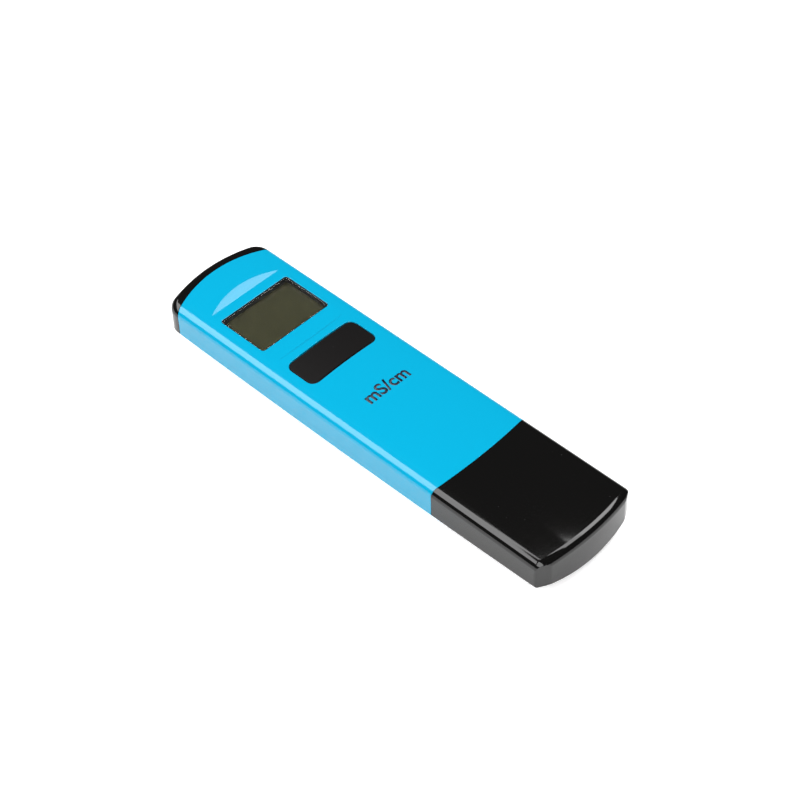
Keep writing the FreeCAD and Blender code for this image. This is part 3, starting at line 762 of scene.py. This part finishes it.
def make_key():
    """The key: its crowned face, the flange that holds it from inside and the stem to the switch."""
    top = height - key_sink
    key = plate("key_cap", key_width - 2 * key_gap, key_length - 2 * key_gap, key_corner - key_gap,
                key_flange_low + 2 * fit_gap, top, key_middle)
    bevel(key, lambda edge, ends: min(end.z for end in ends) > top - hair, key_edge, key_edge_steps)
    strips(key, top)
    crown(key, height - key_crown_depth)
    flange_top = ceiling_z - fit_gap
    flange = plate("key_flange", key_width + 2 * key_flange_rim, key_length + 2 * key_flange_rim,
                   key_corner + key_flange_rim, key_flange_low, flange_top, key_middle)
    strips(flange, flange_top)
    crown(flange, flange_top - flange_crown_depth)
    combine(key, flange, "UNION")
    stem = disc("key_stem", key_stem_radius, key_low.z, key_flange_low + past, 0, key_middle,
                small_disc_sides)
    return combine(key, stem, "UNION")


def make_cover():
    """The round battery cover: its disc, hollow hub, lugs and coin slot."""
    cover = disc("battery_lid", cover_radius, cover_low.z, cover_top, 0, well_y)
    bevel(cover, lambda edge, ends: max(end.z for end in ends) < cover_low.z + hair, cover_edge,
          cover_edge_steps)
    combine(cover, disc("hub", hub_radius, cover_top - hub_overlap, hub_top, 0, well_y), "UNION")
    for number in range(lug_count):
        start = number * 360 / lug_count - lug_angle / 2
        lug = wedge("lug", lug_radius, hub_top - lug_height, hub_top, start, lug_angle)
        combine(cover, lug, "UNION")
    combine(cover, disc("hub_room", hub_inner_radius, cover_top, hub_top + past, 0, well_y), "DIFFERENCE")
    quarter(cover, cover_low.z, well_y)
    coin = plate("coin", coin_slot_length, coin_slot_width, coin_slot_corner, -past, coin_slot_depth, well_y)
    combine(cover, coin, "DIFFERENCE")
    slot_edges = opening_edges(cover, coin_slot_length, coin_slot_width, well_y, 0.0, -1)
    return bevel(cover, slot_edges, coin_slot_rim, edge_steps)


def recess_part(face):
    """0 off the recess, 1 on its floor or on the crown beside a ramp, 2 on a ramp."""
    y = face.center.y
    if face.normal.z < 0.8 or not panel_near - ramp_zone_near < y < panel_far + ramp_zone_far:
        return 0
    if face.normal.z > 0.99999:
        return int(abs(face.center.z - panel_z) < 2 * hair)
    if panel_near <= y <= panel_far:
        return 0
    return 2 if abs(face.normal.y) > 0.05 else 1


def at_window(place, slack):
    """True for a place inside the window's opening or this near to it."""
    across = abs(place.x) < window_width / 2 + slack
    return across and abs(place.y - window_middle) < window_length / 2 + slack


def recess_edges(obj):
    """The creases round the recess floor and its ramps."""
    notes = edge_notes(obj, recess_part)

    def chosen(edge, ends):
        parts = notes.get(edge.key, [])
        middle = (ends[0] + ends[1]) / 2
        return len(parts) == 2 and parts[0] != parts[1] and not at_window(middle, window_margin)
    return chosen


def cap_end_edges(obj):
    """The line where the cap's crowned top turns down at its end."""
    notes = edge_notes(obj, lambda face: face.normal.copy())

    def chosen(edge, ends):
        normals = notes.get(edge.key, [])
        if len(normals) != 2 or min(normal.z for normal in normals) < 0.9:
            return False
        leans = sorted(abs(normal.y) for normal in normals)
        return max(end.y for end in ends) <= cap_top_end and leans[0] < 0.01 and leans[1] > 0.02
    return chosen


def softened(node, name, width, steps=edge_steps):
    """A merged copy of a piece of the frame with its edges rounded."""
    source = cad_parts[node]
    made = bpy.data.objects.new(name, source.data.copy())
    made.matrix_world = source.matrix_world
    bpy.context.scene.collection.objects.link(made)
    settle(made)
    bpy.ops.object.mode_set(mode="EDIT")
    bpy.ops.mesh.select_all(action="SELECT")
    bpy.ops.mesh.remove_doubles(threshold=2 * merge_distance)
    bpy.ops.mesh.dissolve_limited(angle_limit=radians(0.5))
    leave()
    modifier = made.modifiers.new("edges", "BEVEL")
    modifier.width = width
    modifier.segments = steps
    modifier.limit_method = "ANGLE"
    modifier.angle_limit = radians(40)
    bpy.ops.object.modifier_apply(modifier=modifier.name)
    smooth(made)
    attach(made, "meter_body")
    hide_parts(node)
    return made


def make_mark():
    """The unit mark, printed on the crowned face."""
    deselect()
    bpy.ops.object.text_add()
    bpy.context.object.data.body = "mS/cm"
    bpy.context.object.data.offset = mark_weight
    bpy.ops.object.convert(target="MESH")
    mark = rename("unit_mark")
    low = min(vertex.co.x for vertex in mark.data.vertices)
    high = max(vertex.co.x for vertex in mark.data.vertices)
    scale = mark_width / (high - low)
    mark.scale = (scale, scale, scale)
    mark.location = (mark_left - low * scale, mark_baseline, height)
    settle(mark)
    bpy.ops.object.mode_set(mode="EDIT")
    for number in range(int(2 * half_width / strip_step)):
        bpy.ops.mesh.select_all(action="SELECT")
        bpy.ops.mesh.bisect(plane_co=(number * strip_step - half_width, 0, 0), plane_no=(1, 0, 0))
    leave()
    crown(mark, 0)
    bpy.ops.object.mode_set(mode="EDIT")
    bpy.ops.mesh.select_all(action="SELECT")
    bpy.ops.mesh.extrude_region_move(TRANSFORM_OT_translate={"value": (0, 0, -mark_depth)})
    bpy.ops.mesh.select_all(action="SELECT")
    bpy.ops.mesh.normals_make_consistent(inside=False)
    leave()
    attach(mark, "meter_body")
    return mark


# The case and the two caps, cut from one form
outer_form = soften_foot(meter_form("outer_form", 0.0))
inner_form = meter_form("inner_form", wall)
case = hollow_case(outer_form, inner_form)
lid = block("lid", -2 * half_width, 2 * half_width, -2 * half_length, 2 * half_length,
            flank_foot, height + past)
front = make_front(case, lid)
rear = make_rear(case, lid)
end_cap = make_end_cap(outer_form, inner_form)
cap = make_probe_cap(outer_form, inner_form)
for form in (outer_form, inner_form, case):
    bpy.data.objects.remove(form)
for shape, tests in ((front, (on_cap_seam, on_end_seam)), (rear, (on_cap_seam, on_end_seam)),
                     (end_cap, (on_end_seam,)), (cap, (on_cap_seam,))):
    for test in tests:
        bevel(shape, seam_edges(shape, test), seam_edge, edge_steps)

# The pieces that stand in for the frame's own
key = make_key()
cover = make_cover()
for shape, body, node, creases in (
        (front, "meter_body", "front_shell", recess_edges),
        (rear, "meter_body", "rear_shell", None),
        (end_cap, "meter_body", "end_cap", None),
        (cap, "protective_cap", "protective_cap", cap_end_edges),
        (key, "button", "button_key", None),
        (cover, "battery_cover", "battery_cover", None)):
    smooth(shape, creases and creases(shape))
    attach(shape, body)
    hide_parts(node)
probe = softened("probe_body", "probe", probe_edge)
electrodes = softened("electrode_pins", "electrodes", electrode_edge, 4)
sensor = softened("temperature_sensor", "sensor", sensor_edge, 5)
neck_ring = softened("neck_seal", "neck_ring", probe_edge)
lens = softened("window_lens", "lens", lens_edge, 2)
mark = make_mark()


# Finishes
speck_scale = 700.0
speck_size = 0.1


def new_group(name, inputs, outputs):
    """A shader group with its sockets; it returns the tree and its two end nodes."""
    tree = bpy.data.node_groups.new(name, "ShaderNodeTree")
    for label, kind, value in inputs:
        socket = tree.interface.new_socket(label, in_out="INPUT", socket_type=kind)
        if value is not None:
            socket.default_value = value
    for label, kind in outputs:
        tree.interface.new_socket(label, in_out="OUTPUT", socket_type=kind)
    start = tree.nodes.new("NodeGroupInput")
    end = tree.nodes.new("NodeGroupOutput")
    return tree, start, end


def dust_group():
    """A mask of sparse round specks."""
    tree, start, end = new_group(
        "dust specks",
        [("Vector", "NodeSocketVector", None), ("Scale", "NodeSocketFloat", 900.0),
         ("Size", "NodeSocketFloat", 0.12), ("Share", "NodeSocketFloat", 0.2)],
        [("Mask", "NodeSocketFloat")],
    )
    links = tree.links
    cells = tree.nodes.new("ShaderNodeTexVoronoi")
    cells.feature = "F1"
    links.new(start.outputs["Vector"], cells.inputs["Vector"])
    links.new(start.outputs["Scale"], cells.inputs["Scale"])
    near = tree.nodes.new("ShaderNodeMath")
    near.operation = "LESS_THAN"
    links.new(cells.outputs["Distance"], near.inputs[0])
    links.new(start.outputs["Size"], near.inputs[1])
    parts = tree.nodes.new("ShaderNodeSeparateColor")
    links.new(cells.outputs["Color"], parts.inputs["Color"])
    few = tree.nodes.new("ShaderNodeMath")
    few.operation = "LESS_THAN"
    links.new(parts.outputs["Red"], few.inputs[0])
    links.new(start.outputs["Share"], few.inputs[1])
    both = tree.nodes.new("ShaderNodeMath")
    both.operation = "MULTIPLY"
    links.new(near.outputs[0], both.inputs[0])
    links.new(few.outputs[0], both.inputs[1])
    links.new(both.outputs[0], end.inputs["Mask"])
    return tree


def drift_group():
    """A colour that drifts a little in brightness over the surface."""
    tree, start, end = new_group(
        "tone drift",
        [("Vector", "NodeSocketVector", None), ("Color", "NodeSocketColor", (0.5, 0.5, 0.5, 1.0)),
         ("Scale", "NodeSocketFloat", 60.0), ("Amount", "NodeSocketFloat", 0.05)],
        [("Color", "NodeSocketColor")],
    )
    links = tree.links
    noise = tree.nodes.new("ShaderNodeTexNoise")
    noise.inputs["Detail"].default_value = 3.0
    links.new(start.outputs["Vector"], noise.inputs["Vector"])
    links.new(start.outputs["Scale"], noise.inputs["Scale"])
    centred = tree.nodes.new("ShaderNodeMath")
    centred.operation = "SUBTRACT"
    links.new(noise.outputs["Fac"], centred.inputs[0])
    centred.inputs[1].default_value = 0.5
    swing = tree.nodes.new("ShaderNodeMath")
    swing.operation = "MULTIPLY_ADD"
    links.new(centred.outputs[0], swing.inputs[0])
    links.new(start.outputs["Amount"], swing.inputs[1])
    swing.inputs[2].default_value = 1.0
    tone = tree.nodes.new("ShaderNodeVectorMath")
    tone.operation = "SCALE"
    links.new(start.outputs["Color"], tone.inputs[0])
    links.new(swing.outputs[0], tone.inputs["Scale"])
    links.new(tone.outputs["Vector"], end.inputs["Color"])
    return tree


def relief_group():
    """A normal with fine grain."""
    tree, start, end = new_group(
        "fine relief",
        [("Vector", "NodeSocketVector", None), ("Scale", "NodeSocketFloat", 3000.0),
         ("Height", "NodeSocketFloat", 0.1)],
        [("Normal", "NodeSocketVector")],
    )
    links = tree.links
    noise = tree.nodes.new("ShaderNodeTexNoise")
    noise.inputs["Detail"].default_value = 4.0
    links.new(start.outputs["Vector"], noise.inputs["Vector"])
    links.new(start.outputs["Scale"], noise.inputs["Scale"])
    bump = tree.nodes.new("ShaderNodeBump")
    bump.inputs["Distance"].default_value = 0.00005
    links.new(noise.outputs["Fac"], bump.inputs["Height"])
    links.new(start.outputs["Height"], bump.inputs["Strength"])
    links.new(bump.outputs["Normal"], end.inputs["Normal"])
    return tree


dust = dust_group()
drift = drift_group()
relief = relief_group()


def use_group(material, tree, values, coordinates):
    """Put a group into a material, on object coordinates."""
    node = material.node_tree.nodes.new("ShaderNodeGroup")
    node.node_tree = tree
    for label, value in values.items():
        node.inputs[label].default_value = value
    material.node_tree.links.new(coordinates, node.inputs["Vector"])
    return node


def finish(name, color, roughness, metallic=0.0, ior=1.5, tone=0.04, tone_scale=60.0,
           grain=0.0, grain_scale=3000.0, specks=0.0, speck_color=(0.3, 0.3, 0.3, 1.0),
           transmission=0.0, specular=0.5, see_through=0.0):
    """A material whose colour, grain and specks come from the shared groups."""
    material = bpy.data.materials.new(name)
    material.use_nodes = True
    nodes = material.node_tree.nodes
    links = material.node_tree.links
    shader = nodes["Principled BSDF"]
    coordinates = nodes.new("ShaderNodeTexCoord").outputs["Object"]
    toned = use_group(material, drift, {
        "Color": (*color, 1.0), "Scale": tone_scale, "Amount": tone}, coordinates)
    base = toned.outputs["Color"]
    if specks > 0:
        mask = use_group(material, dust, {
            "Scale": speck_scale, "Size": speck_size, "Share": specks}, coordinates)
        mix = nodes.new("ShaderNodeMix")
        mix.data_type = "RGBA"
        links.new(mask.outputs["Mask"], mix.inputs["Factor"])
        links.new(base, mix.inputs["A"])
        mix.inputs["B"].default_value = speck_color
        base = mix.outputs["Result"]
    links.new(base, shader.inputs["Base Color"])
    shader.inputs["Roughness"].default_value = roughness
    shader.inputs["Metallic"].default_value = metallic
    shader.inputs["IOR"].default_value = ior
    shader.inputs["Specular IOR Level"].default_value = specular
    shader.inputs["Transmission Weight"].default_value = transmission
    if grain > 0:
        rough = use_group(material, relief, {"Scale": grain_scale, "Height": grain}, coordinates)
        links.new(rough.outputs["Normal"], shader.inputs["Normal"])
    if see_through > 0:
        path = nodes.new("ShaderNodeLightPath")
        clear = nodes.new("ShaderNodeMath")
        clear.operation = "MULTIPLY_ADD"
        links.new(path.outputs["Is Shadow Ray"], clear.inputs[0])
        clear.inputs[1].default_value = -see_through
        clear.inputs[2].default_value = 1.0
        links.new(clear.outputs[0], shader.inputs["Alpha"])
    return material


blue = finish("case blue", (0.001, 0.27, 0.44), 0.045, tone=0.02)
gloss_black = finish("gloss black", (0.0028, 0.0027, 0.0026), 0.05, specks=0.04,
                     speck_color=(0.02, 0.02, 0.02, 1.0))
key_black = finish("key black", (0.0045, 0.004, 0.004), 0.4, grain=0.1, specks=0.03,
                   speck_color=(0.03, 0.03, 0.03, 1.0), specular=0.08)
mark_ink = finish("mark ink", (0.003, 0.006, 0.02), 0.3, tone=0.02)
pocket_black = finish("pocket black", (0.004, 0.004, 0.004), 0.4)
seal_black = finish("seal rubber", (0.01, 0.01, 0.01), 0.5, grain=0.2)
probe_black = finish("probe black", (0.012, 0.012, 0.013), 0.3, grain=0.2)
frame_black = finish("frame black", (0.012, 0.012, 0.012), 0.5, grain=0.2)
chip_black = finish("chip black", (0.015, 0.015, 0.015), 0.4, grain=0.3)
tan_part = finish("board part", (0.3, 0.22, 0.13), 0.4, grain=0.1)
board_green = finish("board green", (0.01, 0.12, 0.05), 0.3, grain=0.1, grain_scale=1500.0)
connector_pink = finish("connector rubber", (0.5, 0.2, 0.25), 0.5, grain=0.2)
lead_grey = finish("lead insulation", (0.35, 0.35, 0.35), 0.35, grain=0.1)
window_glass = finish("window", (1.0, 1.0, 1.0), 0.0, ior=1.49, tone=0.0, transmission=1.0, see_through=1.0)
lcd_glass = finish("display glass", (0.9, 0.93, 0.91), 0.0, ior=1.5, tone=0.0, transmission=1.0,
                   see_through=1.0)
lcd_film = finish("display film", (0.019, 0.019, 0.010), 0.12, tone=0.05, tone_scale=120.0, specular=0.25)
reflector = finish("reflector", (0.4, 0.42, 0.38), 0.3, metallic=0.3)
graphite = finish("graphite", (0.05, 0.05, 0.055), 0.45, grain=0.4)
steel = finish("steel", (0.55, 0.55, 0.54), 0.22, metallic=1.0, grain=0.1)
cell_steel = finish("cell steel", (0.6, 0.59, 0.57), 0.25, metallic=1.0, grain=0.1)
screw_steel = finish("screw steel", (0.5, 0.5, 0.5), 0.3, metallic=1.0, grain=0.1)
plated = finish("contact plating", (0.7, 0.58, 0.32), 0.25, metallic=1.0, grain=0.1)

looks = {
    "front_shell": blue, "rear_shell": blue, "end_cap": gloss_black, "protective_cap": gloss_black,
    "battery_cover": gloss_black, "button_key": key_black, "switch_plunger": frame_black,
    "tactile_switch": frame_black, "lcd_frame": frame_black, "end_cap_seal": seal_black,
    "neck_seal": seal_black, "probe_gasket": seal_black, "battery_cover_seal": seal_black,
    "probe_body": probe_black, "controller_chip": chip_black, "board_parts": tan_part,
    "circuit_board": board_green, "lcd_connector": connector_pink, "sensor_leads": lead_grey,
    "window_lens": window_glass, "lcd_front_glass": lcd_glass, "lcd_rear_glass": lcd_glass,
    "lcd_polariser": lcd_film, "lcd_reflector": reflector, "electrode_pins": graphite,
    "temperature_sensor": steel, "battery_cell": cell_steel, "board_screws": screw_steel,
    "battery_contact_negative": plated, "battery_contact_positive": plated,
}


def paint(obj, material):
    """Give the whole object one material."""
    obj.data.materials.clear()
    obj.data.materials.append(material)


def paint_faces(obj, material, chosen):
    """Give the faces that chosen accepts a second material."""
    obj.data.materials.append(material)
    for face in obj.data.polygons:
        if chosen(face):
            face.material_index = len(obj.data.materials) - 1


def in_window_wall(face):
    """True for a face of the window's opening below its rim."""
    return at_window(face.center, hair) and face.center.z < panel_z - window_margin


for node, material in looks.items():
    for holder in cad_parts[node].material_slots:
        holder.material = material
for shape, material in (
        (front, blue), (rear, blue), (end_cap, gloss_black), (cap, gloss_black), (key, key_black),
        (cover, gloss_black), (mark, mark_ink), (probe, probe_black), (electrodes, graphite),
        (sensor, steel), (neck_ring, seal_black), (lens, window_glass)):
    paint(shape, material)
paint_faces(lens, pocket_black, lambda face: abs(face.normal.z) < 0.2)
paint_faces(front, pocket_black, in_window_wall)

# Floor, lights and camera
floor_size = 4.0
floor_glow = 0.5
light_level = 1.0
room_glow = 0.05
card_place = (0.76, -1.28, 0.26)
card_turn = (radians(90), 0, radians(211))
photo_pixels = 800.0
focal_pixels = 2147.95
sensor_width = 36.0
camera_place = (-0.30694, -0.31738, 0.47568)
camera_right = (0.6958, -0.7178, -0.0236)
camera_up = (0.5313, 0.4924, 0.6894)
camera_back = (-0.4833, -0.4922, 0.724)


def camera_mask(tree):
    """One for what the camera sees itself, nought for what lights or is mirrored."""
    return tree.nodes.new("ShaderNodeLightPath").outputs["Is Camera Ray"]


def make_floor():
    """A pale floor that glows a little where the camera sees it."""
    deselect()
    bpy.ops.mesh.primitive_plane_add(size=floor_size)
    floor = rename("floor")
    pale = finish("floor", (0.9, 0.9, 0.9), 0.6, tone=0.01)
    tree = pale.node_tree
    shader = tree.nodes["Principled BSDF"]
    glow = tree.nodes.new("ShaderNodeMath")
    glow.operation = "MULTIPLY"
    glow.inputs[1].default_value = floor_glow
    tree.links.new(camera_mask(tree), glow.inputs[0])
    tree.links.new(glow.outputs[0], shader.inputs["Emission Strength"])
    shader.inputs["Emission Color"].default_value = (1.0, 1.0, 1.0, 1.0)
    paint(floor, pale)


def softbox(name, x0, x1, y0, y1, radiance):
    """A rectangular light that faces down, with the same radiance all over."""
    light = bpy.data.lights.new(name, "AREA")
    light.shape = "RECTANGLE"
    light.size = x1 - x0
    light.size_y = y1 - y0
    light.energy = radiance * pi * (x1 - x0) * (y1 - y0)
    holder = bpy.data.objects.new(name, light)
    holder.location = ((x0 + x1) / 2, (y0 + y1) / 2, light_level)
    holder.visible_camera = False
    bpy.context.scene.collection.objects.link(holder)
    return holder


def make_world():
    """A white background that gives only a little light."""
    world = bpy.data.worlds.new("studio")
    bpy.context.scene.world = world
    world.use_nodes = True
    tree = world.node_tree
    room = tree.nodes["Background"]
    room.inputs["Color"].default_value = (1.0, 1.0, 1.0, 1.0)
    glow = tree.nodes.new("ShaderNodeMath")
    glow.operation = "MULTIPLY_ADD"
    glow.inputs[1].default_value = 1.0 - room_glow
    glow.inputs[2].default_value = room_glow
    tree.links.new(camera_mask(tree), glow.inputs[0])
    tree.links.new(glow.outputs[0], room.inputs["Strength"])


def make_camera():
    """The camera at the photo's angle and distance."""
    camera = bpy.data.objects.new("camera", bpy.data.cameras.new("camera"))
    bpy.context.scene.collection.objects.link(camera)
    bpy.context.scene.camera = camera
    camera.data.sensor_width = sensor_width
    camera.data.lens = focal_pixels * sensor_width / photo_pixels
    camera.data.clip_start = 0.01
    place = Matrix((camera_right, camera_up, camera_back)).transposed().to_4x4()
    place.translation = camera_place
    camera.matrix_world = place


make_floor()
softbox("overhead left", -1.2, 0.312, 0.38, 1.15, 5.0)
softbox("front left", -1.7, -0.15, -1.5, 0.15, 4.5)
softbox("overhead middle", 0.312, 0.49, -0.4, 0.383, 5.0)
softbox("overhead edge", 0.49, 1.0, 0.3, 0.411, 4.2)
softbox("overhead near", 0.49, 1.0, -0.45, 0.3, 6.5)
low_card = softbox("low card", -0.45, 0.45, -0.25, 0.25, 2.5)
low_card.location = card_place
low_card.rotation_euler = card_turn
make_world()
make_camera()
bpy.context.scene.view_settings.view_transform = "Standard"
